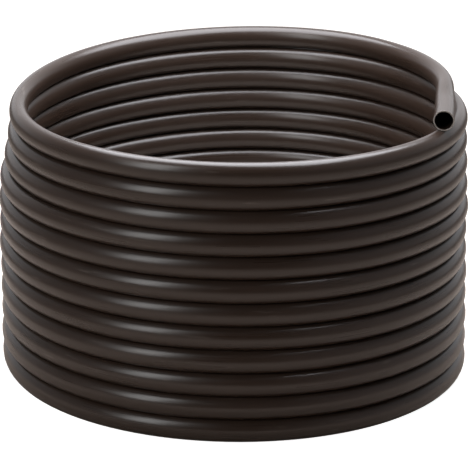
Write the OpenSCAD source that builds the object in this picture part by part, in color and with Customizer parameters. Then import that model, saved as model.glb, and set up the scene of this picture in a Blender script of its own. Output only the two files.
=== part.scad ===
// Coiled garden irrigation hose: one thin-walled plastic pipe wound into an upright
// coil, a single layer of touching turns, with a plainly cut end at the top and another
// at the bottom. Millimetres, +Z up. The origin is the centre of the coil on the floor.
//
// The hose runs up from its bottom end. Seen from above it goes round clockwise. Every
// turn lies level for half of its way and climbs to the next turn over the other half,
// so both halves are true arcs of pipe that meet square on. Bending has flattened the
// pipe a little: in the coil it is taller than it is wide, and at its ends it is round.

/* [Hose] */
// Outside diameter of the hose where it is round
hose_od = 16; // [12:0.5:20]
// Thickness of the hose's wall
wall = 1; // [0.6:0.1:2]
// How much narrower, and taller, bending makes the hose
flattening = 1.7; // [0.2:0.1:2.4]

/* [Coil] */
// Diameter of the coil, across the hose's centreline
coil_d = 352; // [260:4:520]
// Number of whole turns
turns = 12; // [2:1:24]
// Air between one turn and the next
turn_gap = 0.2; // [0.1:0.1:2]
// Where the coil begins and ends, in degrees from +X towards +Y
seam_angle = 45; // [0:5:90]

/* [Loose ends] */
// How much smaller than the coil's the radius of the top end's bend is
lead_tighter = 30; // [5:1:45]
// Degrees that the top end bends through once it has left the coil
lead_sweep = 52; // [10:1:90]
// Straight run over which the hose comes back to round
rounding_length = 45; // [20:1:60]
// Straight last stretch at the top, which a fitting's tail goes into
top_end_length = 45; // [20:1:60]
// Straight last stretch at the bottom, which a fitting's tail goes into
tail_end_length = 25; // [20:1:40]

/* [Hidden] */
$fn = 64;
// Facets round the stretches that change from flattened to round
rounding_fn = 32;

// The flattened hose's outline: two half circles and the straight sides between them
flat_w = hose_od - flattening;
flat_h = hose_od + flattening;
flat_side = flat_h - flat_w;

coil_r = coil_d / 2;
// The climbing half of a turn is tilted just far enough to keep turn_gap square to it.
climb_angle = asin((flat_h + turn_gap) / coil_d);
climb_r = coil_r / cos(climb_angle);
pitch = coil_d * tan(climb_angle);
lead_r = coil_r - lead_tighter;

hose_colour = "#231c18";
half_turn = 180;
// Thickness of the end plates that a rounding is stretched between
plate = 0.5;

function turn_name(n, half) = str("turn_", n < 10 ? "0" : "", n, "_", half);
level_names = [for (n = [1:turns]) turn_name(n, "level")];
climb_names = [for (n = [1:turns]) turn_name(n, "climb")];

// The outline of the flattened hose, with X across the coil; inset by a wall for its bore
module flat_outline(inset) {
    for (side = [-1, 1])
        translate([0, side * flat_side / 2]) circle(r = flat_w / 2 - inset);
    square([flat_w - 2 * inset, flat_side], center = true);
}

// An arc of flattened hose about the Z axis, anticlockwise from the XZ plane
module hose_arc(radius, sweep) {
    rotate_extrude(angle = sweep) translate([radius, 0]) difference() {
        flat_outline(0);
        flat_outline(wall);
    }
}

// A straight, round piece of hose along +Y, from the origin
module round_hose(length) {
    rotate([-90, 0, 0]) difference() {
        cylinder(d = hose_od, h = length);
        translate([0, 0, -plate]) cylinder(d = hose_od - 2 * wall, h = length + 2 * plate);
    }
}

// A solid that changes along +Y from the flattened outline to a round one
module rounding_form(inset, start, end) {
    hull() {
        translate([0, start, 0]) rotate([-90, 0, 0]) linear_extrude(plate) flat_outline(inset);
        translate([0, end, 0]) rotate([-90, 0, 0]) cylinder(r = hose_od / 2 - inset, h = plate);
    }
}

// A straight stretch of hose along +Y, flattened at the origin and round at its far end
module rounding_hose() {
    difference() {
        rounding_form(0, 0, rounding_length - plate, $fn = rounding_fn);
        rounding_form(wall, -plate, rounding_length, $fn = rounding_fn);
    }
}

// Puts its children at the height where turn n starts, with +X towards the coil's seam
module at_seam(n) {
    translate([0, 0, flat_h / 2 + (n - 1) * pitch]) rotate([0, 0, seam_angle]) children();
}

// Turns its children about the middle of the top end's bend, by an angle past the seam
module at_lead(angle) {
    at_seam(turns + 1) translate([lead_tighter, 0, 0]) rotate([0, 0, -angle]) children();
}

// Puts its children where the top end's bend stops, with +Y the way that the hose goes on
module at_lead_end() {
    at_lead(lead_sweep) translate([lead_r, 0, 0]) rotate([0, 0, half_turn]) children();
}

// Puts its children where the bottom turn starts, with +Y the way that the tail leaves it
module at_tail() {
    at_seam(1) translate([coil_r, 0, 0]) children();
}

// The half of turn n that lies level
module level_half(n) {
    color(hose_colour) at_seam(n) rotate([0, 0, half_turn]) hose_arc(coil_r, half_turn);
}

// The half of turn n that climbs to the start of the next turn
module climbing_half(n) {
    color(hose_colour) at_seam(n) translate([0, 0, pitch / 2])
        rotate([0, -climb_angle, 0]) hose_arc(climb_r, half_turn);
}

// The top end, where it leaves the last turn and comes in from the coil's edge
module top_bend() {
    color(hose_colour) at_lead(lead_sweep) hose_arc(lead_r, lead_sweep);
}

// The straight stretch at the top over which the hose comes back to round
module top_rounding() {
    color(hose_colour) at_lead_end() rounding_hose();
}

// The straight last stretch at the top, open at its cut end
module top_cut_end() {
    color(hose_colour) at_lead_end() translate([0, rounding_length, 0])
        round_hose(top_end_length);
}

// The straight stretch at the bottom over which the hose comes back to round
module tail_rounding() {
    color(hose_colour) at_tail() rounding_hose();
}

// The straight last stretch at the bottom, by the floor, open at its cut end
module tail_cut_end() {
    color(hose_colour) at_tail() translate([0, rounding_length, 0])
        round_hose(tail_end_length);
}

for (n = [1:turns]) {
    level_half(n);
    climbing_half(n);
}
top_bend();
top_rounding();
top_cut_end();
tail_rounding();
tail_cut_end();
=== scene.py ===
"""A coil of plain irrigation hose, dressed around its CAD frame.

One length of thin-walled polyethylene pipe lies in an upright coil of touching turns. Its route
is worked out stretch by stretch, a node tree sweeps the pipe's oval section along that route,
and the wall, the cut rims and the skin's finish follow. The classes keep their sizes in
millimetres and degrees, and what they make is in metres, in the frame's own axes.
"""
import logging
import math
from dataclasses import dataclass
from enum import Enum
from typing import Any

import bpy
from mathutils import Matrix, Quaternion, Vector


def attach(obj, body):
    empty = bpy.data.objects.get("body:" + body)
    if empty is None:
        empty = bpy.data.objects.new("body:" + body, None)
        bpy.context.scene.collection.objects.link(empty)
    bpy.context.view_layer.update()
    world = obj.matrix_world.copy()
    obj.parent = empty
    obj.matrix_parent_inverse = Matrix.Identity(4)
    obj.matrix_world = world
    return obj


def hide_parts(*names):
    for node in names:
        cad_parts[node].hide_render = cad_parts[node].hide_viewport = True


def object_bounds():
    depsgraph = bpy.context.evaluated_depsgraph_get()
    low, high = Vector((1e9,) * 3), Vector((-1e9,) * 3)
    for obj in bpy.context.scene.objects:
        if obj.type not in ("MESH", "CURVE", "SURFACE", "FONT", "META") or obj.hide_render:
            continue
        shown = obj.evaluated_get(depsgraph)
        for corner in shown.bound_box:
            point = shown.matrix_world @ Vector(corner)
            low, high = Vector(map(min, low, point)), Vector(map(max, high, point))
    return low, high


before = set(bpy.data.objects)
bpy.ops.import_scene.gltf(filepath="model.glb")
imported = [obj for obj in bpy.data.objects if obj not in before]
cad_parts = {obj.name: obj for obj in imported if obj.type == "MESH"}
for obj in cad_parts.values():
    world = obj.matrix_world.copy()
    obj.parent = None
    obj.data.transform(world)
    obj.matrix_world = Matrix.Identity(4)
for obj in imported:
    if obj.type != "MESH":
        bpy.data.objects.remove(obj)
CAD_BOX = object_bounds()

log = logging.getLogger("coiled_hose")

MM = 0.001
FULL_TURN = 360.0
SKIN = "skin"  # attribute: the place round the pipe, as a cosine and a sine, and along it
CUT = "cut"  # attribute: 1 at a cut end, 0 elsewhere


class Wall(Enum):
    """The studio's walls, each by the axis and the sign of the way to it."""

    BACK = ("Y", 1.0)
    RIGHT = ("X", 1.0)
    LEFT = ("X", -1.0)


def linear_rgb(hex_colour: str) -> tuple[float, float, float, float]:
    """Turns an sRGB hex colour into linear red, green, blue and alpha.

    Args:
        hex_colour: The colour as "#rrggbb".

    Returns:
        Four floats from 0 to 1, the last one 1.
    """
    channels = [int(hex_colour[i:i + 2], 16) / 255 for i in (1, 3, 5)]
    red, green, blue = (
        c / 12.92 if c <= 0.04045 else ((c + 0.055) / 1.055) ** 2.4 for c in channels
    )
    return red, green, blue, 1.0


def smooth(x: float) -> float:
    """Eases from 0 to 1, level at both ends, as x goes from 0 to 1."""
    x = min(max(x, 0.0), 1.0)
    return x * x * (3 - 2 * x)


def add_node(
    tree: bpy.types.NodeTree,
    kind: str,
    inputs: dict[str | int, Any] | None = None,
    **settings: Any,
) -> bpy.types.Node:
    """Adds a node to a tree, with its settings and its inputs.

    Args:
        tree: The shader or geometry tree that the node goes into.
        kind: The node's type name.
        inputs: For each input, by name or number, a socket to link from or a plain value.
        **settings: The node's own properties.

    Returns:
        The new node.
    """
    node = tree.nodes.new(kind)
    for name, value in settings.items():
        setattr(node, name, value)
    for key, value in (inputs or {}).items():
        if isinstance(value, bpy.types.NodeSocket):
            tree.links.new(value, node.inputs[key])
        else:
            node.inputs[key].default_value = value
    return node


def empty_material(name: str) -> tuple[bpy.types.Material, bpy.types.NodeTree]:
    """Makes a material that has only its output node.

    Args:
        name: The material's name.

    Returns:
        The material and its node tree.
    """
    material = bpy.data.materials.new(name)
    material.use_nodes = True
    material.node_tree.nodes.clear()
    return material, material.node_tree


@dataclass(frozen=True)
class ExtrudedPolyethylene:
    """Low-density polyethylene filled with carbon black, drawn through a die.

    The plastic is a warm brown-black with a satin skin. The die leaves faint lines along the
    pipe and a slow mottle in its shine, and handling leaves short pale rubs. Where a knife has
    gone through it, the wall is dull, and the cut face is painted pale grey as a painted
    highlight of the cut wall catching light. Pattern sizes are in millimetres.
    """

    body: str = "#2b2019"
    body_worn: str = "#342923"
    rub: str = "#5d554f"
    # Pale grey of the cut faces: a painted highlight for the cut wall catching light
    cut_face_painted_highlight: str = "#8c8680"
    ior: float = 1.51
    specular_level: float = 0.5
    roughness: float = 0.3
    roughness_swing: float = 0.05
    cut_roughness: float = 0.55
    pipe_radius: float = 8.0
    # Real die lines lie about 0.4 mm apart; these are drawn wider so that they show.
    die_line: float = 1.6
    die_line_stretch: float = 60.0
    mottle: float = 30.0
    mottle_stretch: float = 2.5
    rub_width: float = 3.0
    rub_stretch: float = 9.0
    # The noise value at which a rub starts to show, at which it is full, and its strength then
    rub_starts: float = 0.66
    rub_full: float = 0.80
    rub_strength: float = 0.55
    # The two noises' sum over which the skin goes from its glossiest to its dullest
    glossiest_at: float = 0.6
    dullest_at: float = 1.4
    line_depth: float = 0.03
    line_strength: float = 0.5

    def material(self) -> bpy.types.Material:
        """Builds the finish as a node tree that follows the pipe's own skin attribute.

        Returns:
            The material.
        """
        material, tree = empty_material("Extruded black polyethylene")
        skin = add_node(tree, "ShaderNodeAttribute", attribute_name=SKIN).outputs["Vector"]
        cut = add_node(tree, "ShaderNodeAttribute", attribute_name=CUT).outputs["Fac"]

        lines = self._noise(tree, skin, self.die_line, self.die_line_stretch, detail=3.0)
        mottle = self._noise(tree, skin, self.mottle, self.mottle_stretch, detail=2.0)
        rubs = self._noise(tree, skin, self.rub_width, self.rub_stretch, detail=4.0)
        rub_amount = add_node(tree, "ShaderNodeMapRange", {
            "Value": rubs, "From Min": self.rub_starts, "From Max": self.rub_full,
            "To Min": 0.0, "To Max": self.rub_strength,
        }).outputs["Result"]

        body = self._mix_colour(tree, mottle, self.body, self.body_worn)
        rubbed = self._mix_colour(tree, rub_amount, body, self.rub)
        # The cut faces get the painted highlight's pale grey over the rubbed body colour.
        colour = self._mix_colour(tree, cut, rubbed, self.cut_face_painted_highlight)

        streaks = add_node(tree, "ShaderNodeMath", {0: lines, 1: mottle}, operation="ADD")
        shine = add_node(tree, "ShaderNodeMapRange", {
            "Value": streaks.outputs[0],
            "From Min": self.glossiest_at, "From Max": self.dullest_at,
            "To Min": self.roughness - self.roughness_swing,
            "To Max": self.roughness + self.roughness_swing,
        })
        dulled = add_node(tree, "ShaderNodeMix", {
            0: cut, 2: shine.outputs["Result"], 3: self.cut_roughness,
        })
        bump = add_node(tree, "ShaderNodeBump", {
            "Height": lines, "Strength": self.line_strength, "Distance": self.line_depth * MM,
        })
        surface = add_node(tree, "ShaderNodeBsdfPrincipled", {
            "Base Color": colour, "Roughness": dulled.outputs[0], "IOR": self.ior,
            "Specular IOR Level": self.specular_level,
            "Normal": bump.outputs["Normal"],
        })
        add_node(tree, "ShaderNodeOutputMaterial", {"Surface": surface.outputs["BSDF"]})
        return material

    def _noise(
        self, tree: bpy.types.NodeTree, skin: bpy.types.NodeSocket,
        width: float, stretch: float, detail: float,
    ) -> bpy.types.NodeSocket:
        """Adds a noise whose patches lie along the pipe.

        Args:
            tree: The material's node tree.
            skin: The socket with the place on the skin.
            width: A patch's size round the pipe.
            stretch: How many times longer than wide a patch is.
            detail: How much finer structure it has.

        Returns:
            The noise's value, about 0.5 on average.
        """
        around = self.pipe_radius / width
        along = 1 / (MM * width * stretch)
        place = add_node(tree, "ShaderNodeMapping", {
            "Vector": skin, "Scale": (around, around, along),
        })
        noise = add_node(tree, "ShaderNodeTexNoise", {
            "Vector": place.outputs["Vector"], "Scale": 1.0, "Detail": detail,
        })
        return noise.outputs["Fac"]

    def _mix_colour(
        self, tree: bpy.types.NodeTree, amount: bpy.types.NodeSocket,
        first: bpy.types.NodeSocket | str, second: str,
    ) -> bpy.types.NodeSocket:
        """Mixes a second colour over a first one.

        Args:
            tree: The material's node tree.
            amount: How much of the second colour shows.
            first: A colour socket or an sRGB hex colour.
            second: An sRGB hex colour.

        Returns:
            The mixed colour's socket.
        """
        below = linear_rgb(first) if isinstance(first, str) else first
        mix = add_node(tree, "ShaderNodeMix", {0: amount, 6: below, 7: linear_rgb(second)},
                       data_type="RGBA")
        return mix.outputs[2]


@dataclass(frozen=True)
class MattPaper:
    """Pale background paper: smooth, matt, and lit until it is white and loses its shadow.

    The hose gets back only what the lamps throw on the paper, so it keeps its dark skin.
    """

    colour: str = "#b0a398"
    roughness: float = 0.9
    glow_when_seen: float = 1.0

    def material(self) -> bpy.types.Material:
        """Builds the paper's plain finish.

        Returns:
            The material.
        """
        material, tree = empty_material("Matt pale paper")
        paper = add_node(tree, "ShaderNodeBsdfPrincipled", {
            "Base Color": linear_rgb(self.colour), "Roughness": self.roughness,
        })
        seen = add_node(tree, "ShaderNodeLightPath").outputs["Is Camera Ray"]
        lit = add_node(tree, "ShaderNodeMath", {0: seen, 1: self.glow_when_seen},
                       operation="MULTIPLY")
        glow = add_node(tree, "ShaderNodeEmission", {"Strength": lit.outputs[0]})
        both = add_node(tree, "ShaderNodeAddShader", {0: paper.outputs[0], 1: glow.outputs[0]})
        add_node(tree, "ShaderNodeOutputMaterial", {"Surface": both.outputs[0]})
        return material


@dataclass
class RoutePoint:
    """One place along the hose's centreline."""

    place: Vector
    roundness: float = 0.0


@dataclass
class CoiledHose:
    """The whole hose: its route, its swept wall and its finish."""

    outer: float = 16.0
    wall: float = 1.0
    flattening: float = 1.7
    # Air between the CAD's turns, and what is left of it here, where they are pressed together
    turn_gap: float = 0.2
    turn_contact: float = 0.04
    coil_diameter: float = 352.0
    turns: int = 12
    seam_angle: float = 45.0
    lead_tighter: float = 30.0
    lead_sweep: float = 52.0
    rounding_length: float = 45.0
    top_end_length: float = 45.0
    tail_end_length: float = 25.0

    # How far out from a true circle the hose lies on each side, at the coil's foot, waist and top
    out_right: tuple[float, float, float] = (2.5, 0.0, -3.0)
    out_front: tuple[float, float, float] = (2.5, -2.0, 0.0)
    out_left: tuple[float, float, float] = (2.0, 3.0, -6.0)
    out_back: tuple[float, float, float] = (0.0, 1.5, -1.0)
    waist_turn: float = 7.0
    # Over this share of a turn, the top turn comes back to true before the loose end
    true_again: float = 0.35
    # Towards its loose end, the hose leans in from its plain bend and comes back at the cut.
    lean_in: float = 5.0
    lean_in_length: float = 290.0
    waver: float = 0.25
    waver_turns: float = 0.37
    # The second waver is this much longer than the first, and starts this many radians on.
    second_waver: float = 1.9
    second_waver_start: float = 1.0

    ring_spacing: float = 10.0
    sides: int = 32
    end_ring_density: float = 1.5
    rim_ring: float = 0.35
    rim_rings_in: int = 6
    rim_bevel: float = 0.12
    rim_bevel_segments: int = 2
    # Edges that turn more sharply than this are bevelled
    rim_bevel_angle: float = 60.0
    unevenness: float = 0.12
    unevenness_length: float = 45.0

    def __post_init__(self) -> None:
        """Works out what the driving sizes lead to."""
        self.coil_radius = self.coil_diameter / 2
        cad_height = self.outer + self.flattening
        self.climb = math.asin((cad_height + self.turn_gap) / self.coil_diameter)
        self.climb_radius = self.coil_radius / math.cos(self.climb)
        self.pitch = self.coil_diameter * math.tan(self.climb)
        self.lead_radius = self.coil_radius - self.lead_tighter
        self.half_width = (self.outer - self.flattening) / 2
        self.half_height = (cad_height + self.turn_gap - self.turn_contact) / 2
        self.seam = math.radians(self.seam_angle)

    def out(self, turns_up: float) -> float:
        """Gives how far out from a true circle the hose lies at a height in the coil.

        Args:
            turns_up: Turns from where the coil starts, at the seam.

        Returns:
            Millimetres outwards, eased from each quarter of a turn to the next.
        """
        sides = (self.out_right, self.out_front, self.out_left, self.out_back)
        per_turn = len(sides)
        last = per_turn * self.turns - 1
        place = min(max(per_turn * (turns_up - self.seam_angle / FULL_TURN), 0.0), last)
        lower = min(int(place), last - 1)
        before, after = (
            self.side_out(sides[i % per_turn], i // per_turn) for i in (lower, lower + 1)
        )
        steady = smooth((self.turns - turns_up) / self.true_again)
        waver = steady * smooth(turns_up / self.true_again) * self.waver * (
            math.sin(math.tau * turns_up / self.waver_turns)
            + math.sin(math.tau * turns_up / (self.second_waver * self.waver_turns)
                       + self.second_waver_start)
        )
        return steady * (before + (after - before) * smooth(place - lower)) + waver

    def side_out(self, side: tuple[float, float, float], turn: int) -> float:
        """Gives how far out one side of the coil stands at a turn.

        Args:
            side: How far out it stands at the foot, the waist and the top.
            turn: The turn, counted from 0 at the foot.

        Returns:
            Millimetres outwards, eased from foot to waist and from waist to top.
        """
        foot, waist, top = side
        if turn <= self.waist_turn:
            return foot + (waist - foot) * smooth(turn / self.waist_turn)
        above = (turn - self.waist_turn) / (self.turns - 1 - self.waist_turn)
        return waist + (top - waist) * smooth(above)

    def settled(self, turns_up: float) -> float:
        """Gives how far the hose has sunk where turns lie a little beside each other.

        Args:
            turns_up: Turns from where the coil starts, at the seam.

        Returns:
            Millimetres below where it would lie on turns that stand true.
        """
        if turns_up < 1:
            return 0.0
        beside = (self.out(turns_up) - self.out(turns_up - 1)) / (2 * self.half_width)
        return self.settled(turns_up - 1) + self.pitch * (1 - math.sqrt(1 - beside ** 2))

    def coil_place(self, turns_up: float) -> Vector:
        """Gives the centreline inside the coil.

        Args:
            turns_up: Turns from where the coil starts.

        Returns:
            The place, in millimetres.
        """
        whole = min(int(turns_up), self.turns - 1)
        swept = math.tau * (turns_up - whole)
        base = self.half_height + whole * self.pitch
        along, across, height = self.coil_radius * math.cos(swept), -math.sin(swept), base
        if swept <= math.pi:
            across *= self.coil_radius
        else:
            across *= self.climb_radius
            height += self.pitch / 2 * (1 + math.cos(swept))
        place = Vector((along, across, height - self.settled(turns_up)))
        place += self.out(turns_up) * Vector((math.cos(swept), -math.sin(swept), 0))
        place.rotate(Quaternion((0, 0, 1), self.seam))
        return place

    def ends(self) -> tuple[Vector, Vector]:
        """Gives the directions in which the two loose ends run straight out.

        Returns:
            The tail's direction and the top end's.
        """
        seam_way = Vector((-math.sin(self.seam), math.cos(self.seam), 0))
        lead_way = -seam_way
        lead_way.rotate(Quaternion((0, 0, 1), -math.radians(self.lead_sweep)))
        return seam_way, lead_way

    def straight(self, start: Vector, way: Vector, plain: float) -> list[RoutePoint]:
        """Makes a loose end: the run where the hose comes back to round, and a plain run.

        Args:
            start: Where it starts, at the oval hose.
            way: Its direction.
            plain: Length of the round run.

        Returns:
            Its route points, without the one at the start.
        """
        total = self.rounding_length + plain
        count = round(total / self.ring_spacing * self.end_ring_density)
        runs = [total * i / count for i in range(1, count)]
        runs += [total - self.rim_ring * self.rim_rings_in, total - self.rim_ring, total]
        points = []
        for run in sorted(runs):
            roundness = smooth(run / self.rounding_length)
            sag = Vector((0, 0, (self.half_height - self.outer / 2) * roundness))
            points.append(RoutePoint(start + way * run - sag, roundness))
        return points

    def route(self) -> list[RoutePoint]:
        """Lays the hose from the bottom cut end, through the coil, to the top cut end.

        Returns:
            Every point of the route, in order.
        """
        tail_way, lead_way = self.ends()
        points = self.straight(self.coil_place(0), tail_way, self.tail_end_length)[::-1]

        per_turn = round(math.tau * self.coil_radius / self.ring_spacing)
        for i in range(per_turn * self.turns + 1):
            points.append(RoutePoint(self.coil_place(i / per_turn)))

        top = self.coil_place(self.turns)
        centre = top - self.lead_radius * Vector((math.cos(self.seam), math.sin(self.seam), 0))
        count = round(math.radians(self.lead_sweep) * self.lead_radius / self.ring_spacing)
        for i in range(1, count + 1):
            arm = top - centre
            arm.rotate(Quaternion((0, 0, 1), -math.radians(self.lead_sweep) * i / count))
            points.append(RoutePoint(centre + arm))
        points += self.straight(points[-1].place, lead_way, self.top_end_length)
        self.lean(points)
        return points

    def lean(self, points: list[RoutePoint]) -> None:
        """Moves the last part of the hose in towards the coil's middle, and not its cut end.

        Args:
            points: The whole route, which is changed where it stands.
        """
        from_end = 0.0
        after = points[-1].place.copy()
        for point in reversed(points):
            here = point.place.copy()
            from_end += (after - here).length
            after = here
            if from_end >= self.lean_in_length:
                break
            share = math.sin(math.pi * from_end / self.lean_in_length) ** 2
            inwards = -Vector((here.x, here.y, 0)).normalized()
            point.place = here + inwards * self.lean_in * share

    def build(self) -> bpy.types.Object:
        """Makes the hose as one plain closed mesh, hangs it from the root body and hides the CAD
        parts.

        Returns:
            The finished piece.
        """
        points = self.route()
        places = [p.place * MM for p in points]
        travelled = [0.0]
        for before, after in zip(places, places[1:]):
            travelled.append(travelled[-1] + (after - before).length)

        mesh = bpy.data.meshes.new("hose_route")
        mesh.from_pydata(places, [(i, i + 1) for i in range(len(places) - 1)], [])
        round_half = self.outer / 2
        values = {
            "half_width": [MM * (self.half_width + (round_half - self.half_width) * p.roundness)
                           for p in points],
            "half_height": [MM * (self.half_height + (round_half - self.half_height) * p.roundness)
                            for p in points],
            "travelled": travelled,
            CUT: [float(i in (0, len(points) - 1)) for i in range(len(points))],
        }
        for name, numbers in values.items():
            mesh.attributes.new(name, "FLOAT", "POINT").data.foreach_set("value", numbers)
        hose = bpy.data.objects.new("hose", mesh)
        bpy.context.scene.collection.objects.link(hose)

        finish = ExtrudedPolyethylene().material()
        sweep = hose.modifiers.new("sweep", "NODES")
        sweep.node_group = self.sweep_tree()
        settings = {
            "Sides": self.sides, "Unevenness": self.unevenness * MM,
            "Unevenness Length": self.unevenness_length * MM, "Finish": finish,
        }
        for socket in sweep.node_group.interface.items_tree:
            if socket.in_out == "INPUT" and socket.name in settings:
                sweep[socket.identifier] = settings[socket.name]
        wall = hose.modifiers.new("wall", "SOLIDIFY")
        wall.thickness = self.wall * MM
        wall.offset = -1.0
        wall.use_even_offset = True
        rim = hose.modifiers.new("rim", "BEVEL")
        rim.width = self.rim_bevel * MM
        rim.segments = self.rim_bevel_segments
        rim.limit_method = "ANGLE"
        rim.angle_limit = math.radians(self.rim_bevel_angle)

        graph = bpy.context.evaluated_depsgraph_get()
        solid = bpy.data.meshes.new_from_object(hose.evaluated_get(graph))
        solid.name = "hose"
        hose.modifiers.clear()
        hose.data = solid

        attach(hose, "root")
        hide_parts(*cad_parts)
        log.info("hose: %.2f m in %d rings, %d faces", travelled[-1], len(places),
                 len(solid.polygons))
        return hose

    def sweep_tree(self) -> bpy.types.NodeTree:
        """Builds the tree that sweeps the oval section along the route.

        Returns:
            The tree, with inputs for the number of sides, the unevenness and the finish.
        """
        tree = bpy.data.node_groups.new("Sweep hose", "GeometryNodeTree")
        interface = [
            ("Route", "INPUT", "NodeSocketGeometry"),
            ("Sides", "INPUT", "NodeSocketInt"),
            ("Unevenness", "INPUT", "NodeSocketFloat"),
            ("Unevenness Length", "INPUT", "NodeSocketFloat"),
            ("Finish", "INPUT", "NodeSocketMaterial"),
            ("Hose", "OUTPUT", "NodeSocketGeometry"),
        ]
        for name, way, kind in interface:
            tree.interface.new_socket(name=name, in_out=way, socket_type=kind)
        given = add_node(tree, "NodeGroupInput").outputs

        line = add_node(tree, "GeometryNodeMeshToCurve", {"Mesh": given["Route"]})
        tangent = add_node(tree, "GeometryNodeInputTangent").outputs["Tangent"]
        side = add_node(tree, "ShaderNodeVectorMath", {0: (0, 0, 1), 1: tangent},
                        operation="CROSS_PRODUCT").outputs[0]
        side = add_node(tree, "ShaderNodeVectorMath", {0: side}, operation="NORMALIZE").outputs[0]
        up = add_node(tree, "ShaderNodeVectorMath", {0: tangent, 1: side},
                      operation="CROSS_PRODUCT").outputs[0]
        centre = add_node(tree, "GeometryNodeInputPosition").outputs["Position"]
        curve = line.outputs["Curve"]
        for name, value in (("hose_centre", centre), ("hose_side", side), ("hose_up", up)):
            curve = self._store(tree, curve, name, value)

        ring = add_node(tree, "GeometryNodeCurvePrimitiveCircle",
                        {"Resolution": given["Sides"], "Radius": 1.0})
        ring = self._store(tree, ring.outputs["Curve"], "ring_place", centre)
        pipe = add_node(tree, "GeometryNodeCurveToMesh", {"Curve": curve, "Profile Curve": ring})
        pipe = pipe.outputs["Mesh"]

        turn = add_node(tree, "ShaderNodeSeparateXYZ",
                        {0: self._named(tree, "ring_place", "FLOAT_VECTOR")}).outputs
        skin = add_node(tree, "ShaderNodeCombineXYZ", {
            0: turn["X"], 1: turn["Y"], 2: self._named(tree, "travelled", "FLOAT"),
        }).outputs[0]
        pipe = self._store(tree, pipe, SKIN, skin)

        # The unevenness is a slow noise, taken at true scale on the pipe's skin.
        radius = self.outer / 2 * MM
        true_scale = add_node(tree, "ShaderNodeVectorMath", {0: skin, 1: (radius, radius, 1)},
                              operation="MULTIPLY").outputs[0]
        relative = add_node(tree, "ShaderNodeVectorMath",
                            {0: true_scale, 1: given["Unevenness Length"]},
                            operation="DIVIDE").outputs[0]
        noise = add_node(tree, "ShaderNodeTexNoise",
                         {"Vector": relative, "Scale": 1.0, "Detail": 1.0}).outputs["Fac"]
        swing = add_node(tree, "ShaderNodeMath", {0: noise, 1: 0.5}, operation="SUBTRACT")
        bulge = add_node(tree, "ShaderNodeMath", {0: swing.outputs[0], 1: given["Unevenness"]},
                         operation="MULTIPLY").outputs[0]

        place = self._named(tree, "hose_centre", "FLOAT_VECTOR")
        for half, share, way in (("half_width", turn["X"], "hose_side"),
                                 ("half_height", turn["Y"], "hose_up")):
            reach = add_node(tree, "ShaderNodeMath",
                             {0: self._named(tree, half, "FLOAT"), 1: bulge}, operation="ADD")
            reach = add_node(tree, "ShaderNodeMath", {0: reach.outputs[0], 1: share},
                             operation="MULTIPLY")
            step = add_node(tree, "ShaderNodeVectorMath", {
                0: self._named(tree, way, "FLOAT_VECTOR"), "Scale": reach.outputs[0],
            }, operation="SCALE")
            place = add_node(tree, "ShaderNodeVectorMath", {0: place, 1: step.outputs[0]},
                             operation="ADD").outputs[0]
        placed = add_node(tree, "GeometryNodeSetPosition", {"Geometry": pipe, "Position": place})
        smooth_pipe = add_node(tree, "GeometryNodeSetShadeSmooth",
                               {"Geometry": placed.outputs["Geometry"], "Shade Smooth": True})
        real = add_node(tree, "GeometryNodeRealizeInstances",
                        {"Geometry": smooth_pipe.outputs["Geometry"]})
        dressed = add_node(tree, "GeometryNodeSetMaterial",
                           {"Geometry": real.outputs["Geometry"], "Material": given["Finish"]})
        add_node(tree, "NodeGroupOutput", {"Hose": dressed.outputs["Geometry"]})
        return tree

    def _store(
        self, tree: bpy.types.NodeTree, geometry: bpy.types.NodeSocket, name: str,
        value: bpy.types.NodeSocket,
    ) -> bpy.types.NodeSocket:
        """Keeps a vector on each point under a name, and gives the geometry on."""
        store = add_node(tree, "GeometryNodeStoreNamedAttribute",
                         {"Name": name, "Geometry": geometry, "Value": value},
                         data_type="FLOAT_VECTOR", domain="POINT")
        return store.outputs["Geometry"]

    def _named(
        self, tree: bpy.types.NodeTree, name: str, data_type: str,
    ) -> bpy.types.NodeSocket:
        """Reads back what was kept on each point under a name."""
        read = add_node(tree, "GeometryNodeInputNamedAttribute", {"Name": name},
                        data_type=data_type)
        return read.outputs["Attribute"]


@dataclass(frozen=True)
class Softbox:
    """A soft lamp on a stand, aimed at the coil. Azimuth 0 is the camera's side, 90 is +X."""

    name: str
    azimuth: float
    elevation: float
    distance: float
    width: float
    height: float
    power: float
    colour: str = "#ffffff"

    def make(self, aim: Vector) -> bpy.types.Object:
        """Puts the lamp in its place.

        Args:
            aim: The point that it is turned to.

        Returns:
            The light's object.
        """
        lamp = bpy.data.lights.new(self.name, "AREA")
        lamp.shape = "RECTANGLE"
        lamp.size, lamp.size_y = self.width, self.height
        lamp.energy = self.power
        lamp.color = linear_rgb(self.colour)[:3]
        stand = bpy.data.objects.new(self.name, lamp)
        way = direction(self.azimuth, self.elevation)
        stand.location = aim + way * self.distance
        stand.rotation_mode = "QUATERNION"
        stand.rotation_quaternion = (-way).to_track_quat("-Z", "Y")
        bpy.context.scene.collection.objects.link(stand)
        return stand


def direction(azimuth: float, elevation: float) -> Vector:
    """Gives the unit vector that points to an azimuth and an elevation, in degrees."""
    a, e = math.radians(azimuth), math.radians(elevation)
    return Vector((math.sin(a) * math.cos(e), -math.cos(a) * math.cos(e), math.sin(e)))


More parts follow.
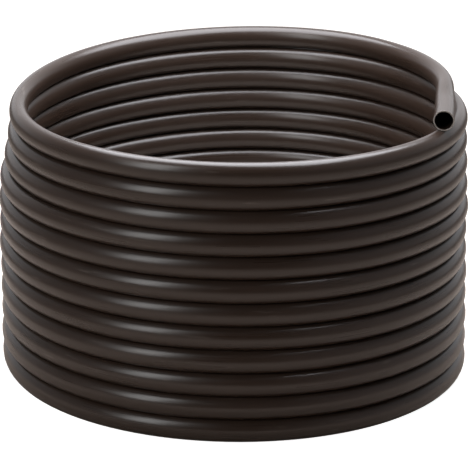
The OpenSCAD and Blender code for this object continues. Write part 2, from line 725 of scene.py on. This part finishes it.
@dataclass
class Studio:
    """The camera, the paper floor, the lamps and the bright walls round them."""

    camera_distance: float = 2.0
    camera_elevation: float = 18.25
    camera_aim_height: float = 0.1023
    camera_roll: float = 0.7
    lens: float = 192.6
    clip_end: float = 50.0
    floor_size: float = 12.0
    wall_colour: str = "#f1f1f4"
    wall_glow: tuple[tuple[Wall, float], ...] = (
        (Wall.BACK, 1.4), (Wall.RIGHT, 0.35), (Wall.LEFT, 0.2),
    )
    lamps: tuple[Softbox, ...] = (
        Softbox("overhead_softbox", 165, 82, 0.62, 0.85, 0.6, 15.5, "#f8f9ff"),
        Softbox("left_window", -42, 27, 2.0, 0.6, 1.4, 14.0),
    )

    def make(self) -> None:
        """Builds everything that the hose is seen with."""
        self.camera()
        self.floor()
        self.walls()
        middle = sum((Vector(c) for c in CAD_BOX), Vector()) / 2
        for lamp in self.lamps:
            lamp.make(middle)

    def camera(self) -> None:
        """Sets up the camera, a long lens a little above the coil."""
        data = bpy.data.cameras.new("camera")
        data.lens = self.lens
        data.clip_end = self.clip_end
        camera = bpy.data.objects.new("camera", data)
        way = direction(0, self.camera_elevation)
        camera.location = Vector((0, 0, self.camera_aim_height)) + way * self.camera_distance
        camera.rotation_mode = "QUATERNION"
        roll = Quaternion((0, 0, 1), math.radians(self.camera_roll))
        camera.rotation_quaternion = (-way).to_track_quat("-Z", "Y") @ roll
        bpy.context.scene.collection.objects.link(camera)
        bpy.context.scene.camera = camera

    def floor(self) -> None:
        """Lays the paper floor that the coil stands on."""
        half = self.floor_size / 2
        corners = [(-half, -half, 0), (half, -half, 0), (half, half, 0), (-half, half, 0)]
        mesh = bpy.data.meshes.new("paper_floor")
        mesh.from_pydata(corners, [], [(0, 1, 2, 3)])
        mesh.materials.append(MattPaper().material())
        floor = bpy.data.objects.new("paper_floor", mesh)
        bpy.context.scene.collection.objects.link(floor)

    def walls(self) -> None:
        """Makes the surroundings: walls that glow, a dark front, and a white sheet to see."""
        world = bpy.data.worlds.new("studio")
        world.use_nodes = True
        tree = world.node_tree
        tree.nodes.clear()
        way = add_node(tree, "ShaderNodeTexCoord").outputs["Generated"]
        axes = add_node(tree, "ShaderNodeSeparateXYZ", {0: way}).outputs
        glow = add_node(tree, "ShaderNodeValue").outputs[0]
        glow.default_value = 0.0
        for wall, brightness in self.wall_glow:
            axis, sign = wall.value
            facing = add_node(tree, "ShaderNodeMath", {0: axes[axis], 1: sign},
                              operation="MULTIPLY", use_clamp=True).outputs[0]
            falloff = add_node(tree, "ShaderNodeMath", {0: facing, 1: facing},
                               operation="MULTIPLY").outputs[0]
            glow = add_node(tree, "ShaderNodeMath", {0: falloff, 1: brightness, 2: glow},
                            operation="MULTIPLY_ADD").outputs[0]
        room = add_node(tree, "ShaderNodeBackground",
                        {"Color": linear_rgb(self.wall_colour), "Strength": glow})
        sheet = add_node(tree, "ShaderNodeBackground", {"Color": (1, 1, 1, 1), "Strength": 1.0})
        seen = add_node(tree, "ShaderNodeLightPath").outputs["Is Camera Ray"]
        both = add_node(tree, "ShaderNodeMixShader",
                        {0: seen, 1: room.outputs[0], 2: sheet.outputs[0]})
        add_node(tree, "ShaderNodeOutputWorld", {"Surface": both.outputs[0]})
        bpy.context.scene.world = world
        bpy.context.scene.view_settings.view_transform = "Standard"


def main() -> None:
    """Builds the studio and the hose."""
    logging.basicConfig(level=logging.INFO, format="%(name)s: %(message)s")
    Studio().make()
    log.info("studio: camera, floor and lamps are up")
    CoiledHose().build()


if __name__ == "__main__":
    main()
